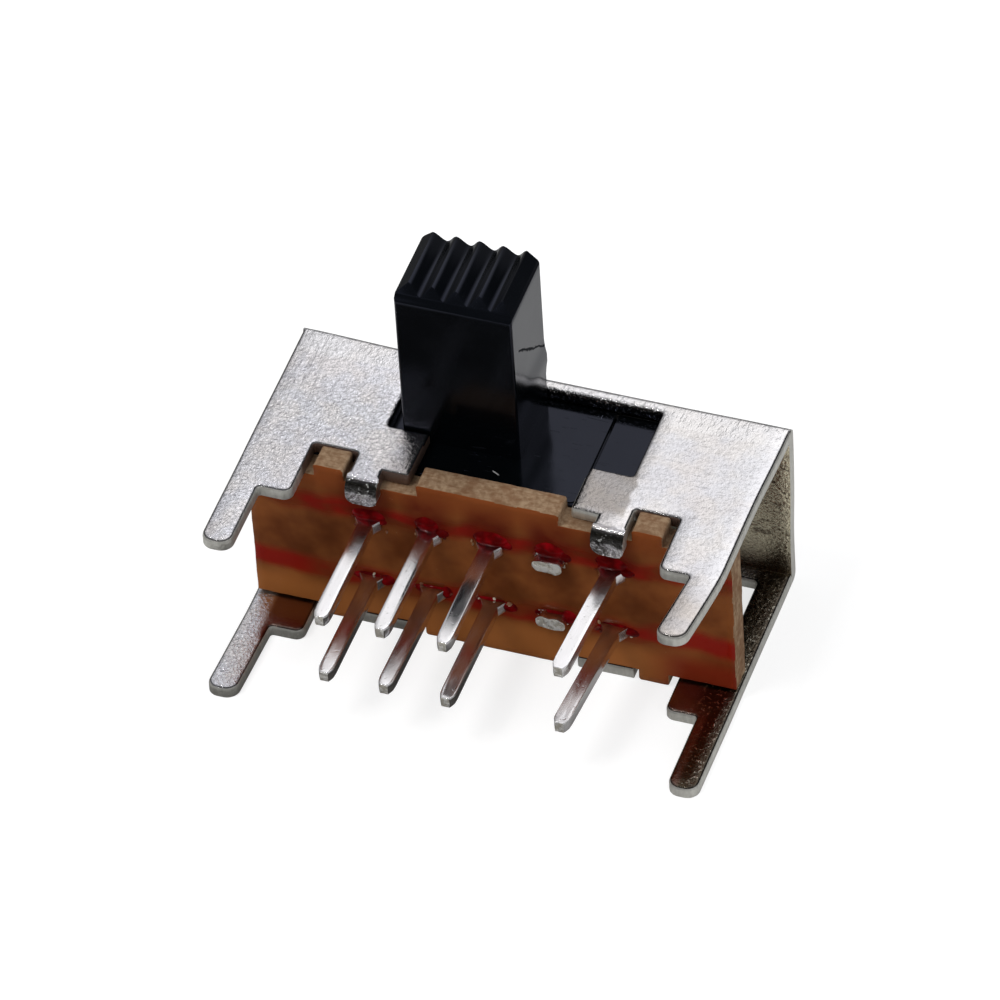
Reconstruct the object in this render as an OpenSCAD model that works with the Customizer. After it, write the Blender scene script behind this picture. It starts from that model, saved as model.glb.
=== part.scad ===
// Right-angle slide switch: two poles, three positions, 2 mm terminals.
// X runs along the switch, Z along the knob, and the legs point to -Y.
// The origin is on the seat plane of the shoulders, at mid length, level with the underside.

/* [Frame] */
// Length of the folded frame
frame_len = 16.1; // [13.4:0.1:20]
// Height over both plates
frame_h = 6.65; // [5.5:0.05:8]
// Depth from the shoulders' seat plane to the back face
frame_depth = 7.1; // [5.9:0.1:9]
// Thickness of the frame's sheet
sheet = 0.4; // [0.3:0.05:0.5]
// Outer radius of the two back folds
fold_r = 0.25; // [0.1:0.05:0.4]
// Width of each leg
leg_w = 1; // [0.8:0.05:1.3]
// Length of the upper legs below the seat plane
upper_leg_len = 2.65; // [1.5:0.05:5]
// Length of the lower legs below the seat plane
lower_leg_len = 3; // [1.5:0.05:5]
// Radius of the corners at each leg's end
leg_end_r = 0.4; // [0.1:0.05:0.4]
// Width of each shoulder, beside its leg
shoulder_w = 1.05; // [0.5:0.05:1.3]
// Width of the gap that takes each lug of the board
lug_gap_w = 1.45; // [1.2:0.05:1.8]
// Width of each ear
ear_w = 1.88; // [1.4:0.02:2]
// Distance from the board's front face back to the upper ears' front edges
ear_inset = 0.35; // [0.1:0.05:0.6]
// Distance from the board's front face back to the lower ears' front edges
lower_ear_inset = 0.03; // [0:0.01:0.4]
// Width of each tab that is bent over the board
tab_w = 1.03; // [0.6:0.01:1.3]
// How far each tab reaches below the top of the frame
tab_drop = 0.95; // [0.8:0.05:1.6]
// Width of the metal rail behind the knob's slot
rail_w = 0.52; // [0.45:0.01:0.8]
// Distance of the lower window's ends from the frame's ends
window_end = 0.97; // [0.6:0.01:2]
// Width of the lower window
window_w = 2.5; // [1:0.1:2.6]
// Metal left between the lower window and the back face
window_rail = 0.94; // [0.7:0.02:1.5]

/* [Board] */
// Gap between the seat plane and the board's front face
standoff = 1.35; // [1:0.05:2]
// Thickness of the board
board_t = 0.9; // [0.7:0.05:1.1]
// How far the board stops short of the frame's ends
board_end_gap = 0.1; // [0:0.02:0.4]
// Width of each lug
lug_w = 1; // [0.6:0.05:1.1]
// Side gap between the board's raised middle and each ear
mid_gap = 0.33; // [0.1:0.01:0.6]

/* [Terminals] */
// Pitch of the terminals
pitch = 2; // [1.7:0.05:2.4]
// Distance between the two rows
row_pitch = 2.5; // [2.4:0.05:3]
// Width of each pin
pin_w = 0.5; // [0.3:0.05:0.6]
// Thickness of the terminals' sheet
pin_t = 0.4; // [0.25:0.05:0.5]
// Length of the pins below the seat plane
pin_len = 3.15; // [1.5:0.05:5]
// Width of the shank inside the board
shank_w = 0.7; // [0.6:0.02:0.9]
// Width of each contact head behind the board
head_w = 1.3; // [1:0.05:1.5]
// Depth of the contact heads behind the board
head_d = 0.9; // [0.6:0.05:1.1]
// How far each staked stub stands in front of the board
stub_len = 0.35; // [0.2:0.05:0.6]

/* [Knob] */
// Length of the knob along the travel
knob_len = 3.85; // [3.2:0.05:4.4]
// Depth of the knob across the travel
knob_d = 2.82; // [2.2:0.02:3]
// Height of the knob's valleys above the frame
knob_h = 5.63; // [4.5:0.01:9]
// Number of ridges
ridge_n = 5; // [3:1:6]
// Height of each ridge
ridge_h = 0.28; // [0.1:0.02:0.4]
// Radius of the knob's upright corners
knob_r = 0.1; // [0.05:0.01:0.3]
// Bevel along the knob's front top edge
knob_bevel = 0.2; // [0.05:0.01:0.4]

/* [Travel] */
// Full travel of the slider, from stop to stop
travel = 4.1; // [3.4:0.1:4.8]
// Distance between two detent positions
step = 1.65; // [1.4:0.05:2]
// Gap between the knob and the slot, at each side and at each stop
slot_play = 0.05; // [0.02:0.01:0.1]

/* [Contacts and detent] */
// Thickness of the contact clips' sheet
clip_t = 0.15; // [0.1:0.01:0.2]
// Diameter of the detent ball
ball_d = 1.5; // [1.2:0.05:1.6]
// Wire diameter of the detent spring
wire_d = 0.2; // [0.12:0.01:0.25]
// Distance of the detent ball from the middle of the knob
detent_dx = 3.4; // [2.6:0.05:3.4]

/* [Hidden] */
$fn = 48;

reach = 1;           // how far cutting shapes run past what they cut
fit_gap = 0.02;      // gap round a piece that is pressed or staked in place
slide_gap = 0.05;    // gap round a piece that slides
board_play = 0.08;   // gap between the board's edges and the two plates
edge_r = 0.1;        // small corner radius left by the press tools
shoulder_r = 0.3;    // radius of each shoulder's front corner
window_r = 0.15;     // radius of the lower window's corners

// Places along the frame, measured from mid length.
half_len = frame_len / 2;
gap_out = half_len - leg_w - shoulder_w;
ear_out = gap_out - lug_gap_w;
ear_in = ear_out - ear_w;
slot_half = knob_len / 2 + travel / 2 + slot_play;
window_half = half_len - window_end;

// Places in depth, measured from the seat plane.
board_back = standoff + board_t;
lug_stop = board_back + fit_gap;
inner_back = frame_depth - sheet;
slot_back = frame_depth - rail_w;
slot_w = knob_d + 2 * slot_play;
slot_front = slot_back - slot_w;
window_back = frame_depth - window_rail;

// Heights.
inner_top = frame_h - sheet;
row_a_z = frame_h / 2 + row_pitch / 2;
row_b_z = frame_h / 2 - row_pitch / 2;

// Domes of lacquer over the terminals' feet, each cut from a sphere.
bead_r = 0.5;
bead_h = 0.25;        // how far a dome stands off the board
bead_lift = 0.15;     // how far a dome's middle lies above the terminal's
bead_top = bead_lift + sqrt(bead_r * bead_r - pow(bead_r - bead_h, 2));
tab_low = max(frame_h - tab_drop, row_a_z + bead_top + fit_gap);

// Slider.
rest_x = -step;
carriage_len = frame_len - travel - 2 * slide_gap;
carriage_front = board_back + slide_gap + fit_gap;
carriage_back = inner_back - slide_gap;
carriage_low = sheet + slide_gap;
pad_top = inner_top - slide_gap;
pad_rise = 0.05;      // the bearing pad stands this much above the carriage's ends
pad_half = 4.15;      // half length of the bearing pad
pad_groove = 0.1;     // width and depth of the groove at each end of the pad
channel_half = pin_t / 2 + 0.12;
channel_back = board_back + head_d + 0.12;

// Clips: each bridges two terminals, half a pitch to the left of the knob's middle.
clip_dx = -pitch / 2;
clip_len = pitch + head_w - 0.2;
clip_half_h = 0.62;
clip_slit = pitch - head_w;
clip_back = channel_back + 1.2;
pocket_half_h = clip_half_h + clip_t / 2 + fit_gap;

// Detent.
detent_z = frame_h / 2;
bore_d = ball_d + 2 * slide_gap;
bore_front = carriage_front + 0.8;
ball_y = inner_back - fit_gap - ball_d / 2;
dimple_depth = 0.15;
dimple_r = 0.9;
dimple_rise = 0.12;

// A corner's sliver: the square of side r at a corner, less the circle tangent to both sides.
// "toward" points from the corner into that square, as [+-1, +-1].
module sliver(corner, toward, r) {
    translate(corner)
        mirror([toward.x < 0 ? 1 : 0, 0])
            mirror([0, toward.y < 0 ? 1 : 0])
                difference() {
                    square(r);
                    translate([r, r]) circle(r = r);
                }
}

module both_ends() {
    children();
    mirror([1, 0, 0]) children();
}

// Extrudes an outline drawn in Y and Z along X.
module along_x(len) {
    rotate([90, 0, 90]) linear_extrude(height = len, center = true) children();
}

// Extrudes an outline drawn in X and Z along Y, from y0 to y1.
module along_y(y0, y1) {
    translate([0, y1, 0]) rotate([90, 0, 0]) linear_extrude(height = y1 - y0) children();
}

module rounded_rect(size, r) {
    difference() {
        square(size, center = true);
        for (sx = [-1, 1], sy = [-1, 1])
            sliver([sx * size.x / 2, sy * size.y / 2], [-sx, -sy], r);
    }
}

// ---- frame ----

// One plate seen from above: leg, shoulder, lug gap, ear and mouth of the right-hand end.
module plate_end(leg_len, ear_front, mouth_back) {
    difference() {
        polygon([
            [0, frame_depth + reach], [half_len, frame_depth + reach],
            [half_len, -leg_len], [half_len - leg_w, -leg_len],
            [half_len - leg_w, 0], [gap_out, 0],
            [gap_out, lug_stop], [ear_out, lug_stop],
            [ear_out, ear_front], [ear_in, ear_front],
            [ear_in, mouth_back], [0, mouth_back]
        ]);
        sliver([half_len, -leg_len], [-1, 1], leg_end_r);
        sliver([half_len - leg_w, -leg_len], [1, 1], leg_end_r);
        sliver([gap_out, 0], [1, 1], shoulder_r);
        sliver([ear_in, ear_front], [1, 1], edge_r);
    }
    sliver([half_len - leg_w, 0], [-1, -1], edge_r);
    sliver([gap_out, lug_stop], [-1, -1], edge_r);
    sliver([ear_out, lug_stop], [1, -1], edge_r);
}

module upper_plate() {
    difference() {
        both_ends() plate_end(upper_leg_len, standoff + ear_inset, slot_front);
        translate([0, (slot_front + slot_back) / 2])
            rounded_rect([2 * slot_half, slot_w], edge_r);
    }
}

module lower_plate() {
    difference() {
        both_ends() plate_end(lower_leg_len, standoff + lower_ear_inset, lug_stop);
        translate([0, window_back - window_w / 2])
            rounded_rect([2 * window_half, window_w], window_r);
    }
}

// The bent sheet in section: both plates run forward past every leg.
module channel_section() {
    front = -max(upper_leg_len, lower_leg_len) - reach;
    difference() {
        translate([front, 0]) square([frame_depth - front, frame_h]);
        translate([front - reach, sheet])
            square([inner_back - front + reach, frame_h - 2 * sheet]);
        sliver([frame_depth, 0], [-1, 1], fold_r);
        sliver([frame_depth, frame_h], [-1, -1], fold_r);
    }
    sliver([inner_back, sheet], [-1, 1], slide_gap);
    sliver([inner_back, inner_top], [-1, -1], slide_gap);
}

// A tab leaves the front of its ear, bends down and lies against the board's front face.
module tab() {
    tab_out = standoff - sheet;
    bend_in = board_play;
    root = standoff + ear_inset + edge_r;
    intersection() {
        translate([ear_out - tab_w / 2, 0, 0]) along_x(tab_w) {
            difference() {
                translate([tab_out, tab_low]) square([root - tab_out, frame_h - tab_low]);
                translate([standoff, tab_low - reach])
                    square([root - standoff + reach, inner_top - tab_low + reach]);
                sliver([tab_out, frame_h], [1, -1], sheet + bend_in);
            }
            sliver([standoff, inner_top], [1, -1], bend_in);
        }
        along_y(tab_out - reach, root + reach) difference() {
            translate([ear_out - tab_w, tab_low]) square([tab_w, frame_h]);
            sliver([ear_out, tab_low], [-1, 1], 3 * edge_r);
            sliver([ear_out - tab_w, tab_low], [1, 1], 3 * edge_r);
        }
    }
}

module dimple_places() {
    for (i = [0:2])
        translate([rest_x + detent_dx + i * step, 0, detent_z]) children();
}

module frame() {
    color("silver") difference() {
        union() {
            intersection() {
                along_x(frame_len) channel_section();
                union() {
                    translate([0, 0, frame_h / 2]) linear_extrude(frame_h) upper_plate();
                    translate([0, 0, -frame_h / 2]) linear_extrude(frame_h) lower_plate();
                }
            }
            both_ends() tab();
            dimple_places() intersection() {
                translate([0, frame_depth + dimple_rise - dimple_r - fold_r, 0])
                    sphere(r = dimple_r + fold_r);
                translate([0, frame_depth, 0])
                    cube([2 * dimple_r, sheet, 2 * dimple_r], center = true);
            }
        }
        dimple_places() translate([0, inner_back + dimple_depth - dimple_r, 0])
            sphere(r = dimple_r);
    }
}

// ---- board ----

// The board is as high as the space between the plates; its middle and its lugs pass through them.
module board_outline() {
    board_half = half_len - board_end_gap;
    mid_half = ear_in - mid_gap;
    lug_mid = (ear_out + gap_out) / 2 - 0.05;
    translate([-board_half, sheet + board_play])
        square([2 * board_half, frame_h - 2 * (sheet + board_play)]);
    translate([0, frame_h / 2]) {
        rounded_rect([2 * mid_half, frame_h - 2 * fit_gap], edge_r);
        for (side = [-1, 1])
            translate([side * lug_mid, 0]) rounded_rect([lug_w, frame_h - 2 * fit_gap], edge_r);
    }
}

module board() {
    color("sienna") along_y(standoff, board_back) difference() {
        board_outline();
        for (z = [row_a_z, row_b_z], i = [1:5])
            translate([(i - 3) * pitch, z])
                square([shank_w + 2 * fit_gap, pin_t + 2 * fit_gap], center = true);
    }
}

// ---- terminals ----

nib_w = 0.1;          // how far a nib stands out from the shank
nib_len = 0.3;        // length of the nibs along the shank
tip_len = 0.2;        // length of the bevels at the pin's tip
tip_share = 0.28;     // half width of the tip's end, as a share of the pin's width
stake_share = 0.45;   // radius of a staked stub's corners, as a share of its thickness

// A shank, as seen from above. Outside the board it has two nibs and a pin, or it stops short.
module shank_outline(x, with_pin) {
    root = board_back + fit_gap;
    face = standoff - fit_gap;
    shank = [[shank_w / 2, root], [shank_w / 2, face]];
    pin = [
        [shank_w / 2 + nib_w, face], [pin_w / 2, face - nib_len],
        [pin_w / 2, -pin_len + tip_len], [pin_w * tip_share, -pin_len]
    ];
    side = with_pin ? concat(shank, pin) : shank;
    translate([x, 0])
        polygon(concat(side, [for (i = [len(side) - 1:-1:0]) [-side[i].x, side[i].y]]));
}

// A staked stub: hammered into a flat-ended oval of the sheet's own thickness.
module stub(x) {
    along_y(standoff - stub_len, standoff + fit_gap)
        translate([x, 0]) rounded_rect([shank_w, pin_t], pin_t * stake_share);
}

// The head lies against the back of the board; its far corners are rounded for the clip.
module head_outline(x0, x1) {
    difference() {
        translate([x0, board_back]) square([x1 - x0, head_d]);
        sliver([x0, board_back + head_d], [1, -1], 2 * edge_r);
        sliver([x1, board_back + head_d], [-1, -1], 2 * edge_r);
    }
}

module slab() {
    linear_extrude(height = pin_t, center = true) children();
}

// The fourth terminal is wide: its stub stands at the fourth place and its pin one pitch further on.
module terminal_solid(z, i) {
    x = (i - 3) * pitch;
    wide = i == 4;
    translate([0, 0, z]) {
        slab() head_outline(x - head_w / 2, x + head_w / 2 + (wide ? pitch : 0));
        slab() shank_outline(x, !wide);
        if (wide) {
            stub(x);
            slab() shank_outline(x + pitch, true);
        }
    }
}

module terminal(z, i) {
    color("lightgray") terminal_solid(z, i);
}

// ---- sealing lacquer ----

// One dome of lacquer on the board over the foot of each pin and stub.
module seal(z) {
    color("darkred") difference() {
        for (i = [1:5])
            intersection() {
                translate([(i - 3) * pitch, standoff + bead_r - bead_h, z + bead_lift])
                    sphere(r = bead_r);
                translate([(i - 3) * pitch, standoff - bead_h, z + bead_r])
                    cube(2 * [bead_r, bead_h, bead_r], center = true);
            }
        for (i = [1:4]) terminal_solid(z, i);
    }
}

// ---- slider ----

// Height over the valleys, from one peak to the next. The valley lies past the middle, so that
// each ridge climbs steeply on its left and falls slowly on its right.
function ridge(u) =
    let (valley = 0.6,
         roundness = 0.75,
         s = u < valley ? u / valley / 2 : 0.5 + (u - valley) / (1 - valley) / 2)
    ridge_h * (roundness * (1 + cos(360 * s)) / 2 + (1 - roundness) * abs(2 * s - 1));

// The knob's ridged top, as an outline in X and Z with its left end at x = 0.
module ridge_outline() {
    ridge_pitch = knob_len / ridge_n;
    first_peak = 0.46 * ridge_pitch;
    steps = 12;
    polygon(concat(
        [[0, -reach], [0, 0]],
        [for (k = [0:(ridge_n - 1) * steps])
            [first_peak + k / steps * ridge_pitch, ridge((k % steps) / steps)]],
        [[knob_len, -ridge_h / 3], [knob_len, -reach]]
    ));
}

module knob() {
    knob_y = slot_back - slot_play - knob_d / 2;
    knob_z = frame_h + knob_h;
    front = knob_y - knob_d / 2;
    difference() {
        intersection() {
            translate([0, knob_y, pad_top - slide_gap])
                linear_extrude(frame_h + knob_h)
                    rounded_rect([knob_len, knob_d], knob_r);
            along_y(front - reach, front + knob_d + reach) {
                translate([-knob_len / 2, knob_z]) ridge_outline();
                translate([-knob_len / 2, 0]) square([knob_len, knob_z - reach / 2]);
            }
        }
        translate([0, 0, knob_z]) along_x(knob_len + reach) polygon([
            [front - reach, -knob_bevel - reach], [front - reach, reach],
            [front + knob_bevel + reach, reach]
        ]);
    }
}

// One contact row in the slider: a channel for the heads and a pocket for the clip.
module contact_row(z) {
    translate([0, carriage_front - reach, z - channel_half])
        translate([-carriage_len, 0, 0])
            cube([2 * carriage_len, channel_back - carriage_front + reach, 2 * channel_half]);
    translate([clip_dx - clip_len / 2 - fit_gap, carriage_front - reach, z - pocket_half_h])
        cube([clip_len + 2 * fit_gap, clip_back - carriage_front + reach, 2 * pocket_half_h]);
}

module carriage() {
    low = pad_top - pad_rise;
    difference() {
        union() {
            translate([0, (carriage_front + carriage_back) / 2, (carriage_low + low) / 2])
                along_x(carriage_len)
                    rounded_rect([carriage_back - carriage_front, low - carriage_low], edge_r);
            translate([0, (carriage_front + carriage_back) / 2, low - edge_r])
                linear_extrude(pad_rise + edge_r)
                    rounded_rect([2 * pad_half, carriage_back - carriage_front - 2 * edge_r],
                        2 * edge_r);
        }
        for (side = [-1, 1])
            translate([side * (pad_half + pad_groove / 2), 0, pad_top])
                cube([pad_groove, 3 * frame_depth, 2 * (pad_rise + pad_groove)], center = true);
        contact_row(row_a_z);
        contact_row(row_b_z);
        translate([detent_dx, carriage_back + reach, detent_z]) rotate([90, 0, 0])
            cylinder(d = bore_d, h = carriage_back + reach - bore_front);
    }
}

module slider() {
    color([0.05, 0.05, 0.06]) translate([rest_x, 0, 0]) {
        carriage();
        knob();
    }
}

// ---- clips ----

function unit(v) = v / norm(v);
function left_of(v) = [-v.y, v.x];

// Mitred normal of a path at its point i.
function path_normal(p, i) =
    let (n = len(p) - 1,
         before = left_of(unit(p[max(i, 1)] - p[max(i, 1) - 1])),
         after = left_of(unit(p[min(i, n - 1) + 1] - p[min(i, n - 1)])),
         mid = unit(before + after))
    mid / (mid * after);

// Outline of a strip of thickness t that follows a path.
function strip(p, t) = concat(
    [for (i = [0:len(p) - 1]) p[i] + path_normal(p, i) * t / 2],
    [for (i = [len(p) - 1:-1:0]) p[i] - path_normal(p, i) * t / 2]);

// The clip in section: the upper leaf runs from the flared mouth over the pinch to the heel.
module clip(z) {
    pinch = pin_t / 2 + fit_gap + clip_t / 2;
    back = clip_back - fit_gap - clip_t / 2;
    leaf = [
        [carriage_front + 0.15, pinch + 0.2], [board_back + head_d / 2, pinch],
        [back - 0.35, clip_half_h], [back - 0.1, clip_half_h], [back, clip_half_h - 0.1]
    ];
    path = concat(leaf, [for (i = [len(leaf) - 1:-1:0]) [leaf[i].x, -leaf[i].y]]);
    color("goldenrod") translate([rest_x + clip_dx, 0, z]) difference() {
        along_x(clip_len) polygon(strip(path, clip_t));
        translate([-clip_slit / 2, carriage_front - reach, -frame_h / 2])
            cube([clip_slit, back - 0.6 - carriage_front + reach, frame_h]);
    }
}

// ---- detent ----

module detent_ball() {
    color("gainsboro") translate([rest_x + detent_dx, ball_y, detent_z]) sphere(d = ball_d);
}

// The spring stands on the bore's floor and its last turn lies round the back of the ball.
module detent_spring() {
    coil_pitch = 0.38;
    turn_steps = 20;
    sides = 8;
    coil_r = bore_d / 2 - wire_d / 2 - 2 * slide_gap;
    cup = sqrt(pow(ball_d / 2 + wire_d / 2, 2) - pow(coil_r, 2));
    y0 = bore_front + wire_d / 2 + fit_gap;
    y1 = ball_y - cup - 2 * fit_gap;
    turns = floor(2 * (y1 - y0) / coil_pitch) / 2;
    n = turns * turn_steps;
    // Closer turns at both ends: 30% less pitch there than in the middle.
    rise = function(t) t - 0.3 * sin(360 * t) / (2 * PI);
    points = [for (k = [0:n], j = [0:sides - 1])
        let (t = k / n, a = 360 * turns * t, b = 360 * j / sides,
             r = coil_r + wire_d / 2 * cos(b))
        [r * cos(a), y0 + (y1 - y0) * rise(t) + wire_d / 2 * sin(b), r * sin(a)]];
    walls = [for (k = [0:n - 1], j = [0:sides - 1])
        let (a = k * sides + j, b = k * sides + (j + 1) % sides)
        [a, b, b + sides, a + sides]];
    ends = [[for (j = [sides - 1:-1:0]) j], [for (j = [0:sides - 1]) n * sides + j]];
    color("gray") translate([rest_x + detent_dx, 0, detent_z])
        polyhedron(points = points, faces = concat(walls, ends));
}

frame();
slider();
board();
terminal(row_a_z, 1);  // terminal_a1
terminal(row_a_z, 2);  // terminal_a2
terminal(row_a_z, 3);  // terminal_a3
terminal(row_a_z, 4);  // terminal_a4
terminal(row_b_z, 1);  // terminal_b1
terminal(row_b_z, 2);  // terminal_b2
terminal(row_b_z, 3);  // terminal_b3
terminal(row_b_z, 4);  // terminal_b4
clip(row_a_z);  // clip_a
clip(row_b_z);  // clip_b
detent_spring();
detent_ball();
seal(row_a_z);  // seal_a
seal(row_b_z);  // seal_b
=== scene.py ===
"""Looks of the slide switch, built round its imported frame: camera, light, materials and finished pieces."""

import math
from functools import cached_property

import bmesh
import bpy
from mathutils import Matrix, Vector, noise


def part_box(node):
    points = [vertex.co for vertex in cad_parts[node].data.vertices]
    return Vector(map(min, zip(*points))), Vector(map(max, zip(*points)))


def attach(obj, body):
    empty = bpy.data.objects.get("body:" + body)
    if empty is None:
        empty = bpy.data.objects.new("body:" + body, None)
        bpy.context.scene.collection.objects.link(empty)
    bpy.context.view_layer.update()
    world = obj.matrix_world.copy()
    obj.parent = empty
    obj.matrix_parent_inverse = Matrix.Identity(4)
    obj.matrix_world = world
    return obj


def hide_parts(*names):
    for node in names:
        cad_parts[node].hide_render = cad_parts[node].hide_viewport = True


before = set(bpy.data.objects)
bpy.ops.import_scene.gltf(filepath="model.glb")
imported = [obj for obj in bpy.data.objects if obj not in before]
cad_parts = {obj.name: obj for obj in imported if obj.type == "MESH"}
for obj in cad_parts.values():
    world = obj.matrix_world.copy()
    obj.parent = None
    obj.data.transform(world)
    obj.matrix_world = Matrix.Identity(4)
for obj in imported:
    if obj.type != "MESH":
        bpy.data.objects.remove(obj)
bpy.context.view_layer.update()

# noise_vector gives other values in every run until its seed is set.
NOISE_SEED = 5
noise.seed_set(NOISE_SEED)

MM = 0.001


def in_mm(node):
    """Lowest and highest corner of a CAD node, in millimetres."""
    low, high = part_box(node)
    return low / MM, high / MM


# ---- places on the switch, in millimetres ----

FRAME_HIGH = in_mm("frame")[1]
BOARD_LOW, BOARD_HIGH = in_mm("board")
BOARD_FACE = BOARD_LOW.y
BOARD_MIDDLE = (BOARD_LOW.z + BOARD_HIGH.z) / 2
SHEET = 0.4
PLATE_TOP = FRAME_HIGH.z
PLATE_UNDER = PLATE_TOP - SHEET
BACK_INNER = 6.7
DIE_LINE = 6.0

# The terminals stand in five columns; the wide fourth of each row fills two, with its stub and its pin.
PITCH = 2.0
COLUMNS = 5
FIRST_X = -2 * PITCH
STUB_X = PITCH
PIN_T = 0.4
PIN_LEN = 3.15
ROW_A = in_mm("terminal_a1")[1].z - PIN_T / 2
ROW_B = in_mm("terminal_b1")[1].z - PIN_T / 2

# Distances from the middle of the switch, the same on both sides.
TAB_X, TAB_HALF = 4.05, 0.6
SLOT_HALF = 4.2
LUG_GAP_IN, LUG_GAP_OUT = 4.5, 7.2
BOARD_END = 7.6

SLOT_FRONT = 3.4
LUG_STOP = 3.95
KNOB_RIGHT = 0.275


# ---- camera ----

VIEW_AZIMUTH = math.radians(21.53)
VIEW_HEIGHT = math.radians(44.98)
VIEW_ROLL = math.radians(-3.83)
VIEW_RANGE = 0.3
VIEW_MIDDLE = Vector((0, 2.85, 3.5)) * MM
VIEW_OFFSET = (-0.21 * MM, 1.22 * MM)
LENS = 344.97
SENSOR = 36
NEAREST, FARTHEST = 0.01, 20

TOWARDS_CAMERA = Vector((
    math.sin(VIEW_AZIMUTH) * math.cos(VIEW_HEIGHT),
    -math.cos(VIEW_AZIMUTH) * math.cos(VIEW_HEIGHT),
    math.sin(VIEW_HEIGHT),
))


def place_camera():
    """A long lens, rolled a little and shifted in its own plane."""
    level = Vector((math.cos(VIEW_AZIMUTH), math.sin(VIEW_AZIMUTH), 0))
    upright = TOWARDS_CAMERA.cross(level)
    across = level * math.cos(VIEW_ROLL) + upright * math.sin(VIEW_ROLL)
    upward = -level * math.sin(VIEW_ROLL) + upright * math.cos(VIEW_ROLL)
    camera = bpy.data.objects.new("camera", bpy.data.cameras.new("camera"))
    bpy.context.scene.collection.objects.link(camera)
    turn = Matrix((across, upward, TOWARDS_CAMERA)).transposed().to_4x4()
    spot = VIEW_MIDDLE + TOWARDS_CAMERA * VIEW_RANGE + across * VIEW_OFFSET[0] + upward * VIEW_OFFSET[1]
    camera.matrix_world = Matrix.Translation(spot) @ turn
    camera.data.lens = LENS
    camera.data.sensor_width = SENSOR
    camera.data.clip_start = NEAREST
    camera.data.clip_end = FARTHEST
    bpy.context.scene.camera = camera


# ---- node trees ----

WHITE = (1.0, 1.0, 1.0)


class Tree:
    """A node tree being written down: most methods add one node and give back its output."""

    def __init__(self, tree):
        self.tree = tree
        self.tree.nodes.clear()

    def node(self, kind, inputs=None, **settings):
        made = self.tree.nodes.new(kind)
        for name, value in settings.items():
            setattr(made, name, value)
        for key, value in (inputs or {}).items():
            self.feed(made.inputs[key], value)
        return made

    def feed(self, socket, value):
        """Links an output to the socket, or sets the socket's own value."""
        if isinstance(value, bpy.types.NodeSocket):
            self.tree.links.new(value, socket)
        elif socket.type == "RGBA" and len(value) == 3:
            socket.default_value = (*value, 1)
        else:
            socket.default_value = value

    def calc(self, kind, *values):
        return self.node("ShaderNodeMath", dict(enumerate(values)), operation=kind).outputs["Value"]

    def times(self, first, *others):
        """The product of all the values."""
        for other in others:
            first = self.calc("MULTIPLY", first, other)
        return first

    def plus(self, one, other):
        return self.calc("ADD", one, other)

    def vectors(self, kind, *values):
        made = self.node("ShaderNodeVectorMath", dict(enumerate(values)), operation=kind)
        return made.outputs["Value" if kind in ("LENGTH", "DOT_PRODUCT") else "Vector"]


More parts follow.
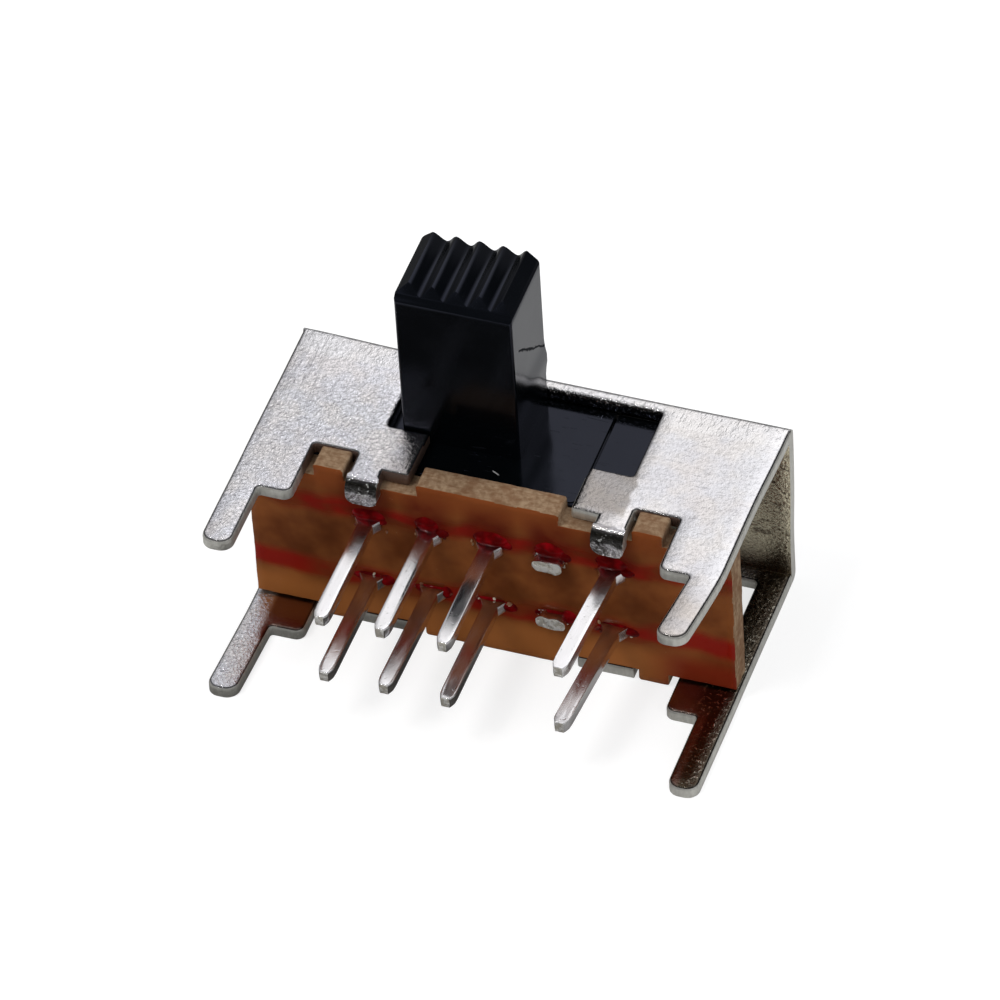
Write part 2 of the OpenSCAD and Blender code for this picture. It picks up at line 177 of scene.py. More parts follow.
class Recipe(Tree):
    """The shader tree of a material or of the world."""

    def __init__(self, owner):
        owner.use_nodes = True
        super().__init__(owner.node_tree)

    @cached_property
    def place(self):
        """Object coordinates in millimetres."""
        return self.spread((1 / MM, 1 / MM, 1 / MM), self.node("ShaderNodeTexCoord").outputs["Object"])

    @cached_property
    def axes(self):
        """The object coordinates one by one."""
        return self.node("ShaderNodeSeparateXYZ", {"Vector": self.place}).outputs[:]

    def spread(self, scale, vector=None, shift=(0, 0, 0), turn=(0, 0, 0)):
        """A pattern space stretched by scale, so that small factors give long marks."""
        made = self.node("ShaderNodeMapping", {
            "Vector": vector or self.place, "Scale": scale, "Location": shift, "Rotation": turn,
        })
        return made.outputs["Vector"]

    def grain(self, scale, detail=2.0, rough=0.5, space=None, warp=0.0):
        made = self.node("ShaderNodeTexNoise", {
            "Vector": space or self.place, "Scale": scale, "Detail": detail,
            "Roughness": rough, "Distortion": warp,
        })
        return made.outputs["Fac"]

    def cells(self, scale, output="Distance"):
        made = self.node("ShaderNodeTexVoronoi", {"Vector": self.place, "Scale": scale})
        return made.outputs[output]

    def between(self, value, low, high, out_low=0.0, out_high=1.0, smooth=True):
        """value's way from low to high, as a share, held at both ends."""
        made = self.node("ShaderNodeMapRange", {
            "Value": value, "From Min": low, "From Max": high, "To Min": out_low, "To Max": out_high,
        }, interpolation_type="SMOOTHSTEP" if smooth else "LINEAR")
        return made.outputs["Result"]

    def within(self, value, start, end):
        """Share that grows over the pair of values at the start and goes over the pair at the end."""
        return self.times(self.between(value, *start), self.between(value, *end))

    def waver(self, pattern, reach):
        """A noise pattern as a wandering offset, up to reach each way."""
        return self.between(pattern, 0.2, 0.8, -reach, reach, smooth=False)

    def most(self, one, other):
        return self.calc("MAXIMUM", one, other)

    def absolute(self, value):
        return self.calc("ABSOLUTE", value)

    def outside(self, share):
        return self.calc("SUBTRACT", 1.0, share)

    def mix(self, share, low, high, way="MIX"):
        made = self.node("ShaderNodeMix", {0: share, 6: low, 7: high}, data_type="RGBA", blend_type=way)
        return made.outputs[2]

    def coat(self, tone, colour, where, strength):
        """The tone, covered with a colour where the share says so."""
        return self.mix(self.times(where, strength), tone, colour)

    def tint(self, tone, share, low, high):
        """The tone, filtered by a colour that runs from low to high."""
        return self.mix(1.0, tone, self.mix(share, low, high), "MULTIPLY")

    def blend(self, share, low, high):
        made = self.node("ShaderNodeMix", {0: share, 2: low, 3: high}, data_type="FLOAT")
        return made.outputs[0]

    def mark(self, name):
        """A piece's own named share, such as where its cut edges are."""
        return self.node("ShaderNodeAttribute", attribute_name=name).outputs["Fac"]

    def relief(self, height, depth, strength, under=None):
        """Bump of the given depth in millimetres, on top of the one under it."""
        inputs = {"Height": height, "Distance": depth * MM, "Strength": strength}
        if under is not None:
            inputs["Normal"] = under
        return self.node("ShaderNodeBump", inputs).outputs["Normal"]

    def either(self, share, first, second):
        """The first shader, giving way to the second with the share."""
        return self.node("ShaderNodeMixShader", {0: share, 1: first, 2: second}).outputs[0]

    def surface(self, inputs):
        self.finish(self.node("ShaderNodeBsdfPrincipled", inputs).outputs["BSDF"])

    def finish(self, output, target="ShaderNodeOutputMaterial"):
        self.tree.links.new(output, self.node(target).inputs["Surface"])


def material(name):
    made = bpy.data.materials.new(name)
    return made, Recipe(made)


class Grower(Tree):
    """A geometry tree with named inputs, which makes one plain piece."""

    def __init__(self, name, sizes):
        super().__init__(bpy.data.node_groups.new(name, "GeometryNodeTree"))
        face = self.tree.interface
        self.sockets = {}
        kinds = {float: "NodeSocketFloat", int: "NodeSocketInt", tuple: "NodeSocketVector"}
        for label, value in sizes.items():
            self.sockets[label] = face.new_socket(label, in_out="INPUT", socket_type=kinds[type(value)])
        face.new_socket("Geometry", in_out="OUTPUT", socket_type="NodeSocketGeometry")
        self.sizes = sizes
        self.given = self.node("NodeGroupInput").outputs

    def vector(self, x=0.0, y=0.0, z=0.0):
        return self.node("ShaderNodeCombineXYZ", {0: x, 1: y, 2: z}).outputs[0]

    def any_vector(self, low, high, seed):
        made = self.node("FunctionNodeRandomValue", {0: low, 1: high, "Seed": seed}, data_type="FLOAT_VECTOR")
        return made.outputs[0]

    def columns(self, start):
        """A row of points, one at each column of terminals."""
        return self.node("GeometryNodeMeshLine", {
            "Count": COLUMNS, "Start Location": start, "Offset": self.vector(self.given["Pitch"]),
        }, mode="OFFSET").outputs[0]

    def join(self, *parts):
        joined = self.node("GeometryNodeJoinGeometry")
        for part in parts:
            self.feed(joined.inputs[0], part)
        return joined.outputs[0]

    def balls(self, points, radius, fineness, **inputs):
        """A ball at every point, turned and scaled by the inputs."""
        ball = self.node("GeometryNodeMeshIcoSphere", {"Radius": radius, "Subdivisions": fineness})
        return self.node("GeometryNodeInstanceOnPoints", {
            "Points": points, "Instance": ball.outputs[0], **inputs,
        }).outputs[0]

    def realize(self, geometry):
        return self.node("GeometryNodeRealizeInstances", {0: geometry}).outputs[0]

    def shift(self, geometry, **inputs):
        return self.node("GeometryNodeSetPosition", {"Geometry": geometry, **inputs}).outputs[0]

    def roughen(self, geometry, scale, detail, reach):
        """Moves every point by a noise, up to half of reach each way."""
        lumps = self.node("ShaderNodeTexNoise", {"Scale": scale / MM, "Detail": detail}).outputs["Color"]
        centred = self.vectors("SUBTRACT", lumps, (0.5, 0.5, 0.5))
        uneven = self.node("ShaderNodeVectorMath", {0: centred, "Scale": reach}, operation="SCALE")
        return self.shift(geometry, Offset=uneven.outputs[0])

    def grow(self, geometry, finish):
        """Realizes, paints and evaluates the tree, and gives back a plain mesh object."""
        smooth = self.node("GeometryNodeSetShadeSmooth", {0: self.realize(geometry)})
        painted = self.node("GeometryNodeSetMaterial", {0: smooth.outputs[0], "Material": finish})
        self.feed(self.node("NodeGroupOutput").inputs[0], painted.outputs[0])
        name = self.tree.name
        piece = bpy.data.objects.new(name, bpy.data.meshes.new(name))
        bpy.context.scene.collection.objects.link(piece)
        growth = piece.modifiers.new("growth", "NODES")
        growth.node_group = self.tree
        for label, value in self.sizes.items():
            growth[self.sockets[label].identifier] = value
        piece.update_tag()
        bpy.context.view_layer.update()
        mesh = bpy.data.meshes.new_from_object(piece.evaluated_get(bpy.context.evaluated_depsgraph_get()))
        piece.modifiers.clear()
        piece.data = mesh
        mesh.name = name
        return piece


# ---- light and floor ----

# Patches that the metal mirrors: the way to each one's middle, and the angles in degrees off that way
# at which it has faded out and at which it is whole.
SOFT_BOX = Vector((0.02, 0.60, 0.80)).normalized(), 30, 4
DARK_FRONT = Vector((-0.12, -0.74, 0.66)).normalized(), 31, 12
DARK_CARD = Vector((0.54, 0.63, 0.56)).normalized(), 22, 8
WALL_FOOT, WALL_HEAD = (0.16, 0.16, 0.165), (0.44, 0.44, 0.45)
BOX_WHITE = (1.25, 1.24, 1.25)
CARD_BLACK = (0.05, 0.05, 0.053)
FRONT_GREY = (0.13, 0.127, 0.123)
DAYLIGHT = (0.97, 0.98, 1.0)

FLOOR_HALF = 1.5
FLOOR_DROP = 0.01
SHADE_MIDDLE = Vector((-2.0, -5.5, 0)) * MM
SHADE_REACH = (11 * MM, 11 * MM)
FADE_START, FADE_END = 24 * MM, 42 * MM


def light_world():
    """A pale tent: grey walls, a bright panel over the back, a dark card, and a dark opening at the front."""
    world = bpy.data.worlds.new("tent")
    bpy.context.scene.world = world
    r = Recipe(world)
    way = r.node("ShaderNodeTexCoord").outputs["Generated"]

    def background(colour, strength=1.0):
        return r.node("ShaderNodeBackground", {"Color": colour, "Strength": strength}).outputs[0]

    def nearness(direction, far, near):
        """Share of the way into a patch of the tent, between two angles in degrees."""
        low, high = math.cos(math.radians(far)), math.cos(math.radians(near))
        return r.between(r.vectors("DOT_PRODUCT", way, direction), low, high)

    climb = r.between(r.node("ShaderNodeSeparateXYZ", {0: way}).outputs["Z"], 0.2, 0.6)
    tent = r.mix(climb, WALL_FOOT, WALL_HEAD)
    tent = r.mix(nearness(*DARK_CARD), tent, CARD_BLACK)
    tent = r.mix(nearness(*SOFT_BOX), tent, BOX_WHITE)
    tent = r.mix(nearness(*DARK_FRONT), tent, FRONT_GREY)
    path = r.node("ShaderNodeLightPath").outputs
    mirrored = r.most(path["Is Glossy Ray"], path["Is Transmission Ray"])
    light = r.either(mirrored, background(DAYLIGHT, 0.5), background(tent))
    r.finish(r.either(path["Is Camera Ray"], light, background(WHITE)), "ShaderNodeOutputWorld")


def hang_lamp(name, spot, size, watts, tint=WHITE, mirrored=False):
    """A round lamp that faces the switch; spot and size are in millimetres."""
    data = bpy.data.lights.new(name, "AREA")
    data.shape = "DISK"
    data.size = size * MM
    data.energy = watts
    data.color = tint
    lamp = bpy.data.objects.new(name, data)
    bpy.context.scene.collection.objects.link(lamp)
    lamp.location = Vector(spot) * MM
    lamp.rotation_euler = (Vector(spot) * MM - VIEW_MIDDLE).to_track_quat("Z", "Y").to_euler()
    lamp.visible_glossy = mirrored


def lay_floor():
    """A white floor, which the metal mirrors as grey, with a painted shadow in front of the switch that only
    the mirrors show.
    """
    mesh = bpy.data.meshes.new("floor")
    level = -FLOOR_DROP * MM
    corners = [(x * FLOOR_HALF, y * FLOOR_HALF, level) for x, y in ((-1, -1), (1, -1), (1, 1), (-1, 1))]
    mesh.from_pydata(corners, [], [(0, 1, 2, 3)])
    floor = bpy.data.objects.new("floor", mesh)
    bpy.context.scene.collection.objects.link(floor)
    made, r = material("pale_floor")

    def matt(colour):
        return r.node("ShaderNodeBsdfDiffuse", {"Color": colour}).outputs[0]

    def glowing(base, colour, strength):
        glow = r.node("ShaderNodeEmission", {"Color": colour, "Strength": strength})
        return r.node("ShaderNodeAddShader", {0: base, 1: glow.outputs[0]}).outputs[0]

    # Painted shadow: in mirrors the floor is darker round a spot in front of the switch.
    off = r.vectors("SUBTRACT", r.node("ShaderNodeTexCoord").outputs["Object"], SHADE_MIDDLE)
    shade = r.between(r.vectors("LENGTH", r.vectors("DIVIDE", off, (*SHADE_REACH, 1))), 1.0, 0.55)
    fading = r.between(r.vectors("LENGTH", off), FADE_START, FADE_END)
    near_tone = r.mix(shade, (0.42, 0.42, 0.42), (0.05, 0.046, 0.042))
    dull = matt(r.mix(fading, near_tone, (0.12, 0.12, 0.12)))
    mirrored = glowing(dull, (1, 1, 0.98), r.blend(fading, r.blend(shade, 0.17, 0.01), 0.01))
    lit = glowing(matt((0.36, 0.36, 0.36)), WHITE, 0.73)
    path = r.node("ShaderNodeLightPath").outputs
    seen = r.most(path["Is Camera Ray"], path["Is Transmission Ray"])
    unseen = r.either(path["Is Glossy Ray"], matt((0.72, 0.72, 0.72)), mirrored)
    r.finish(r.either(seen, unseen, lit))
    mesh.materials.append(made)


# ---- plated steel of the frame ----

BRIGHT_PLATE, PLATE_HOLLOW_SHADE, HAMMERED_HOLLOW_SHADE = (0.97, 0.965, 0.96), (0.72, 0.715, 0.71), (0.73, 0.725, 0.73)
CLOUD_GREY = (0.93, 0.92, 0.93)
COOL_TINT, WARM_TINT = (0.965, 0.975, 1.01), (1.0, 0.98, 0.965)
RIGHT_PAINTED_SHADE, LEFT_PAINTED_LIGHT = (0.93, 0.925, 0.925), (1.0, 1.0, 1.02)
RIGHT_LEG_DARKENING, RIGHT_EAR_DARKENING, LEFT_EAR_KNOB_REFLECTION = (0.76, 0.73, 0.70), (0.60, 0.575, 0.545), (0.72, 0.70, 0.69)
FOLD_HIGHLIGHT, MARK_GREY, HAIR_GREY = (1.0, 0.985, 0.975), (0.46, 0.46, 0.47), (0.45, 0.45, 0.46)
INNER_BOARD_REFLECTION_AND_FLUX = (0.27, 0.155, 0.115)
RIGHT_END_DARK, RIGHT_END_PALE = (0.10, 0.078, 0.050), (0.62, 0.59, 0.50)
BACK_BOARD_REFLECTION, BACK_DARK = (0.98, 0.89, 0.64), (0.22, 0.17, 0.10)
SHEARED_DARK, SHEARED_PALE, SHEARED_SHADE_AND_REFLECTION = (0.42, 0.41, 0.37), (0.80, 0.79, 0.74), (0.11, 0.050, 0.030)
RIM_DARK_REFLECTION = (0.035, 0.033, 0.030)
BEND_DARK_REFLECTION, BEND_SPARKLE = (0.03, 0.028, 0.022), (0.90, 0.91, 0.89)
GLINT = (1.0, 1.0, 0.99)


def lower_plate(r):
    """Shares of the lower plate's outer parts, and of its inner face in front of the board, where a painted
    reflection and shade of the board lie over some flux residue.
    """
    x, y, z = r.axes
    outer = r.most(r.between(x, -7.2, -7.45), r.between(x, 7.6, 7.8))
    outer = r.most(outer, r.between(y, 1.4, 2.2))
    low = r.between(z, 1.0, 0.6)
    # Where the painted board reflection and shade lie, with the flux residue.
    stained = r.most(r.between(x, -1.0, 1.0), r.between(y, -0.9, -0.3))
    inner = r.times(low, r.outside(outer), stained, r.between(z, 0.2, 0.34))
    return r.times(low, outer), inner


def tab_share(r):
    """Share of the two tabs that are bent over the board."""
    x, y, z = r.axes
    off_tab = r.absolute(r.calc("SUBTRACT", r.absolute(x), TAB_X))
    return r.times(
        r.within(z, (PLATE_TOP - 0.05, PLATE_TOP - 0.2), (3.0, 4.0)),
        r.between(y, 2.2, 1.9),
        r.between(off_tab, TAB_HALF + 0.02, TAB_HALF - 0.03),
    )


def left_ear_share(r):
    x, y, _ = r.axes
    return r.times(r.within(x, (-4.0, -2.9), (0.0, -1.0)), r.between(y, 4.0, 3.0))


def right_ear_share(r):
    """Share of the right ear's face, up to the wandering border of its darker, duller zone."""
    x, y, _ = r.axes
    border = r.plus(x, r.waver(r.grain(1.6), 0.16))
    return r.times(
        r.between(border, 4.32, 4.18),
        r.between(y, LUG_STOP, LUG_STOP - 0.3),
        r.between(x, 0.0, 1.0),
        r.between(y, 1.65, 2.1),
    )


def slot_rim_share(r):
    """Share of the rolled edge along the back of the knob's slot."""
    x, y, _ = r.axes
    along = r.between(r.absolute(x), SLOT_HALF, SLOT_HALF - 0.1)
    return r.times(r.within(y, (6.50, 6.56), (6.72, 6.66)), along)


def inner_back_share(r):
    """Share of the back plate's inner face, below the slot."""
    _, y, z = r.axes
    return r.times(
        r.within(y, (BACK_INNER - 0.15, BACK_INNER - 0.05), (BACK_INNER + 0.3, BACK_INNER + 0.15)),
        r.between(z, PLATE_UNDER, PLATE_UNDER - 0.2),
    )


def right_end_share(r):
    """Share of the darker patch on the lower plate's right end."""
    x, y, z = r.axes
    from_end = r.blend(r.between(y, -0.6, 0.8), r.between(x, 7.25, 7.5), r.between(x, 6.6, 7.2))
    return r.times(from_end, r.within(z, (0.2, 0.34), (0.6, 0.45)), r.between(y, 6.78, 6.70))


def die_marks(r):
    """Share of the die's line along the fold, and of the ticks and drag marks that it left."""
    x, y, z = r.axes
    on_top = r.between(z, PLATE_TOP - 0.15, PLATE_TOP - 0.03)
    fold = r.times(r.between(y, DIE_LINE, DIE_LINE + 0.12), on_top)
    ticks = r.between(r.grain(2.0, 2.0, 0.6, r.spread((4.0, 1.6, 0.7))), 0.54, 0.68)
    drag = r.between(r.grain(2.0, 2.0, 0.6, r.spread((8.0, 0.4, 0.4), shift=(3, 0, 0))), 0.54, 0.64)
    drag_corner = r.times(r.between(x, -6.5, -7.0), r.between(y, 3.6, 4.6))
    return fold, r.most(r.times(fold, ticks), r.times(drag_corner, drag))


def sheared_tone(r):
    """Tone of the cut edges: streaked, with a brown painted shade and board reflection beside the lugs and at
    the left ear.
    """
    x, y, z = r.axes
    streaks = r.grain(7.0, 3.0, 0.6, r.spread((1.0, 1.0, 0.25)))
    tone = r.mix(streaks, SHEARED_DARK, SHEARED_PALE)
    out = r.absolute(x)
    across_lug = r.within(out, (LUG_GAP_IN, LUG_GAP_IN + 0.15), (LUG_GAP_OUT, LUG_GAP_OUT - 0.1))
    by_lug = r.times(r.within(y, (0.9, 1.3), (LUG_STOP, LUG_STOP - 0.2)), across_lug)
    under_top = r.between(z, PLATE_TOP - 0.8, PLATE_TOP - 0.6)
    by_ear = r.times(r.within(x, (-2.5, -2.62), (-4.7, -4.6)), under_top)
    return r.coat(tone, SHEARED_SHADE_AND_REFLECTION, r.most(by_lug, by_ear), 0.9)


def plated_steel():
    """Bright plating with a hammered stipple and die marks by the fold, with painted shade in the stipple's
    hollows, a painted highlight on the die line, painted dark reflections on the rims and bends, and a
    painted board reflection with scuffs on the inner back.
    """
    made, r = material("plated_steel")
    x, y, z = r.axes
    stipple = r.grain(8.5, 3.5, 0.62, warp=0.4)
    cloud = r.grain(0.45, 3.0, 0.55)
    left = r.between(x, 2.0, -6.0)
    lower, inner = lower_plate(r)
    left_ear, right_ear = left_ear_share(r), right_ear_share(r)
    tab, back, slot_rim = tab_share(r), inner_back_share(r), slot_rim_share(r)
    fold, marks = die_marks(r)

    worked = r.times(left, r.between(r.plus(y, cloud), 6.8, 4.2, 0.35, 1.0))
    hammered = r.most(r.times(worked, r.outside(inner)), r.times(lower, 0.7))
    hammered = r.blend(tab, r.blend(left_ear, hammered, 0.35), 0.8)

    # Painted shade: the stipple's hollows are darker in colour, on top of the bump.
    pits = r.mix(hammered, PLATE_HOLLOW_SHADE, HAMMERED_HOLLOW_SHADE)
    tone = r.mix(r.between(stipple, 0.26, 0.58), pits, BRIGHT_PLATE)
    tone = r.tint(tone, r.between(cloud, 0.3, 0.7), CLOUD_GREY, WHITE)
    tone = r.tint(tone, r.between(r.grain(1.1), 0.35, 0.65), COOL_TINT, WARM_TINT)
    # Painted light: the right end is darker and the left end lighter and cooler, as the light falls on them.
    tone = r.tint(tone, left, RIGHT_PAINTED_SHADE, LEFT_PAINTED_LIGHT)
    # The right legs are darker towards their ends.
    down_leg = r.between(r.plus(y, r.waver(cloud, 0.5)), 0.2, -1.4)
    tone = r.tint(tone, r.times(down_leg, r.between(x, 4.0, 6.0)), WHITE, RIGHT_LEG_DARKENING)
    # The right ear is darker up to a wandering border.
    tone = r.tint(tone, right_ear, WHITE, RIGHT_EAR_DARKENING)
    # Painted reflection of the black knob, darkening the left ear in front of it.
    tone = r.tint(tone, left_ear, WHITE, LEFT_EAR_KNOB_REFLECTION)

    hair = r.between(r.grain(1.6, 3.0, 0.6, r.spread((0.35, 9.0, 1.0), turn=(0, 0, 0.9))), 0.66, 0.70)
    # Painted highlight along the die line by the fold.
    tone = r.coat(tone, FOLD_HIGHLIGHT, fold, 0.5)
    tone = r.coat(tone, MARK_GREY, marks, 0.25)
    tone = r.coat(tone, HAIR_GREY, hair, 0.1)
    # Painted reflection and shade of the board, with some flux residue, on the lower plate's inner face.
    tone = r.coat(tone, INNER_BOARD_REFLECTION_AND_FLUX, inner, 0.92)
    # The lower plate's right end is darker, in a coarse stipple.
    right_end_tone = r.mix(r.between(stipple, 0.56, 0.66), RIGHT_END_DARK, RIGHT_END_PALE)
    tone = r.coat(tone, right_end_tone, right_end_share(r), 0.95)

    # Painted reflection of the board on the back plate's inner face, broken by scuffs and darker towards the
    # bottom.
    scuffs_and_bottom = r.between(r.grain(1.5, 4.0, 0.65, r.spread((1.0, 1.0, 2.0), turn=(0.5, 0, 0))), 0.50, 0.66)
    scuffs_and_bottom = r.most(scuffs_and_bottom, r.between(r.plus(z, cloud), 2.6, 1.2))
    tone = r.coat(tone, r.mix(scuffs_and_bottom, BACK_BOARD_REFLECTION, BACK_DARK), back, 0.9)

    # Painted dark reflection along the rolled rims, the tabs' bends and the slot's walls.
    tone = r.coat(tone, RIM_DARK_REFLECTION, r.mark("rim"), 0.92)
    # Painted reflection: a dark band across each tab's bend, with painted sparkles in it.
    dark_band = r.times(tab, r.between(r.plus(z, r.waver(r.grain(3.0), 0.14)), 6.07, 6.22))
    sparkles = r.between(r.grain(4.5, 2.0, 0.6, warp=0.5), 0.60, 0.66)
    tone = r.coat(tone, r.mix(sparkles, BEND_DARK_REFLECTION, BEND_SPARKLE), dark_band, 0.92)
    glints = r.between(r.grain(7.0, 2.0, 0.6, r.spread((1.0, 1.0, 1.0), shift=(5, 0, 0))), 0.56, 0.62)
    tone = r.mix(r.times(slot_rim, glints), tone, GLINT)

    rough = r.between(stipple, 0.3, 0.75, 0.15, 0.27, smooth=False)
    rough = r.plus(rough, r.times(right_ear, 0.08))
    pressed = r.most(r.blend(hammered, 0.27, 0.82), r.times(back, 0.7))
    bump = r.relief(marks, -0.008, 0.6, r.relief(hair, -0.003, 0.4))
    bump = r.relief(r.grain(24.0, 2.0, 0.6), 0.003, 0.7, bump)
    bump = r.relief(stipple, 0.05, pressed, bump)
    bump = r.relief(r.grain(9.0, 1.0, 0.5), 0.04, slot_rim, bump)
    bump = r.relief(r.grain(3.5), 0.14, tab, bump)
    cut = r.mark("cut")
    r.surface({
        "Base Color": r.mix(cut, tone, sheared_tone(r)),
        "Metallic": r.blend(cut, 1.0, 0.8),
        "Roughness": r.blend(cut, rough, 0.42),
        "Normal": bump,
    })
    return made


# ---- tinned metal of the terminals ----

TIN_GREY, TIN_BRIGHT = (0.86, 0.85, 0.87), (0.98, 0.97, 0.97)
ROOT_REFLECTION_GREY, PIT_GREY = (0.44, 0.40, 0.40), (0.50, 0.48, 0.46)
TIP_PALE, TIP_GREY = (0.97, 0.95, 0.91), (0.68, 0.64, 0.56)


def tinned_metal():
    """Smooth bright tin over brass, with soft runs, small pits, a painted reflection darkening it near the
    root, and matt cut tips.
    """
    made, r = material("tinned_metal")
    y = r.axes[1]
    runs = r.grain(2.2, 2.0, 0.5, r.spread((1.6, 0.4, 1.6)))
    pits = r.between(r.grain(9.0), 0.60, 0.80)
    # Painted reflection of the lacquer and board, darkening the tin near the root.
    root_reflection = r.times(r.between(y, -0.4, 1.2), r.between(runs, 0.42, 0.58))
    tip = r.mark("cut")
    torn = r.between(r.grain(5.0, 3.0, 0.6), 0.42, 0.60)
    tone = r.mix(runs, TIN_GREY, TIN_BRIGHT)
    tone = r.coat(tone, ROOT_REFLECTION_GREY, root_reflection, 0.55)
    tone = r.coat(tone, PIT_GREY, pits, 0.3)
    tone = r.mix(tip, tone, r.mix(torn, TIP_PALE, TIP_GREY))
    bump = r.relief(runs, 0.008, 0.4, r.relief(pits, -0.004, 0.5))
    bump = r.relief(torn, -0.04, tip, bump)
    r.surface({
        "Base Color": tone,
        "Metallic": r.blend(tip, 1.0, 0.7),
        "Roughness": r.blend(tip, r.between(runs, 0.3, 0.7, 0.14, 0.25, smooth=False), 0.34),
        "Normal": bump,
    })
    return made


# ---- black plastic of the slider ----

BLACK_DEEP, BLACK_SHEEN = (0.0006, 0.0010, 0.0012), (0.0011, 0.0016, 0.0021)
DUST_GREY, SCRATCH_GREY, NICK_GREY = (0.07, 0.07, 0.065), (0.02, 0.02, 0.025), (0.30, 0.30, 0.30)
BLUISH_SHINE = (0.62, 0.68, 1.0)
# The scar on the knob's right side runs down towards the back; this is its height at y = 0.
SCAR_HEIGHT, SCAR_SLOPE = 14.0, 0.79
NICK_X, NICK_Y, NICK_SLOPE = -0.28, 3.0, 0.5


def scar_share(r):
    """Share of the moulding's scar on the knob's right side."""
    x, y, z = r.axes
    height = r.plus(r.plus(z, r.times(y, SCAR_SLOPE)), r.times(r.grain(1.8, 3.0, 0.6), 0.4))
    off_line = r.absolute(r.calc("SUBTRACT", height, SCAR_HEIGHT))
    side = r.between(x, KNOB_RIGHT - 0.06, KNOB_RIGHT - 0.02)
    return r.times(r.between(off_line, 0.06, 0.02), r.times(side, r.between(y, 4.1, 4.3)))


def nick_share(r):
    """Share of the small slanting nick in the carriage."""
    x, y, z = r.axes
    along = r.plus(x, -NICK_X)
    slant = r.absolute(r.plus(r.plus(y, -NICK_Y), r.times(along, NICK_SLOPE)))
    nick = r.times(r.between(slant, 0.035, 0.010), r.between(r.absolute(along), 0.15, 0.08))
    return r.times(nick, r.between(z, 6.0, 6.15))


def black_plastic():
    """Glossy moulded black with hairline scratches, dust, a nick and a scar on the knob's right side."""
    made, r = material("black_plastic")
    z = r.axes[2]
    flow = r.grain(0.9)
    dust = r.between(r.cells(2.2), 0.03, 0.0)
    hair = r.between(r.grain(4.0, 2.0, 0.6, r.spread((0.25, 3.0, 1.2), turn=(0, 0, 0.5))), 0.67, 0.72)
    hair = r.times(hair, r.between(z, 7.2, 6.8))
    scar = scar_share(r)
    tone = r.mix(flow, BLACK_DEEP, BLACK_SHEEN)
    tone = r.coat(tone, DUST_GREY, dust, 0.5)
    tone = r.coat(tone, SCRATCH_GREY, hair, 0.2)
    tone = r.mix(nick_share(r), tone, NICK_GREY)
    rough = r.plus(r.between(flow, 0.3, 0.7, 0.11, 0.18), r.times(hair, 0.15))
    rough = r.plus(rough, r.times(scar, 0.6))
    rough = r.plus(rough, r.between(z, 12.1, 12.3, 0.0, 0.03))
    bump = r.relief(r.grain(16.0, 2.0, 0.6), 0.001, 0.5, r.relief(hair, -0.003, 0.5))
    bump = r.relief(flow, 0.01, 0.4, r.relief(scar, -0.05, 1.0, bump))
    r.surface({
        "Base Color": tone,
        "Metallic": 0.0,
        "Roughness": rough,
        "IOR": 1.40,
        "Specular Tint": BLUISH_SHINE,
        "Normal": bump,
    })
    return made


# ---- phenolic board ----

FACE_DARK, FACE_PALE = (0.092, 0.023, 0.005), (0.190, 0.058, 0.015)
HIGH_WARM, LOW_WARM, LOW_WARM_RIGHT = (0.18, 0.043, 0.010), (0.32, 0.110, 0.028), (0.165, 0.013, 0.005)
SPECK = (0.30, 0.17, 0.10)
RED_THICK, RED_THIN, RED_THIN_ABOVE = (0.19, 0.005, 0.003), (0.135, 0.016, 0.005), (0.095, 0.010, 0.003)
RED_HAZE = (0.074, 0.0050, 0.0020)
PAPER_BROWN, PAPER_PALE = (0.17, 0.100, 0.056), (0.31, 0.215, 0.135)
LAYER_BROWN, BLOTCH_BROWN = (0.13, 0.055, 0.025), (0.15, 0.072, 0.036)


def haze_share(r):
    """Share of the thin red that spreads over the face above the a-row's terminals."""
    x, _, z = r.axes
    off_pin = r.absolute(r.calc("WRAP", x, PITCH / 2, -PITCH / 2))
    return r.times(
        r.between(off_pin, 1.15, 0.30),
        r.between(r.absolute(x), 5.4, 4.9),
        r.between(r.grain(1.2), 0.35, 0.6, 0.7, 1.0),
        r.between(z, ROW_A + 2.1, ROW_A + 0.95),
        r.between(z, ROW_A + 0.1, ROW_A + 0.4),
    )


def stain_share(r):
    """Share of the two red bands along the rows, with wandering edges."""
    z = r.axes[2]
    height = r.plus(z, r.waver(r.grain(0.7, 1.5, 0.4, r.spread((1.0, 1.0, 0.3))), 0.28))

    def band(low, high):
        return r.within(height, (low - 0.16, low + 0.26), (high + 0.12, high - 0.4))

    return r.most(band(ROW_A + 0.02, ROW_A + 0.92), band(ROW_B - 0.42, ROW_B + 0.58))


def paper_tone(r, fibre):
    """Tone of the punched edges: fibrous, with darker layers and blotches."""
    layers = r.grain(3.5, 3.0, 0.6, r.spread((0.6, 4.0, 0.6)))
    tone = r.mix(r.between(fibre, 0.25, 0.75), PAPER_BROWN, PAPER_PALE)
    tone = r.coat(tone, LAYER_BROWN, r.between(layers, 0.50, 0.68), 0.45)
    return r.coat(tone, BLOTCH_BROWN, r.between(r.grain(1.3, 3.0, 0.6), 0.45, 0.65), 0.6)


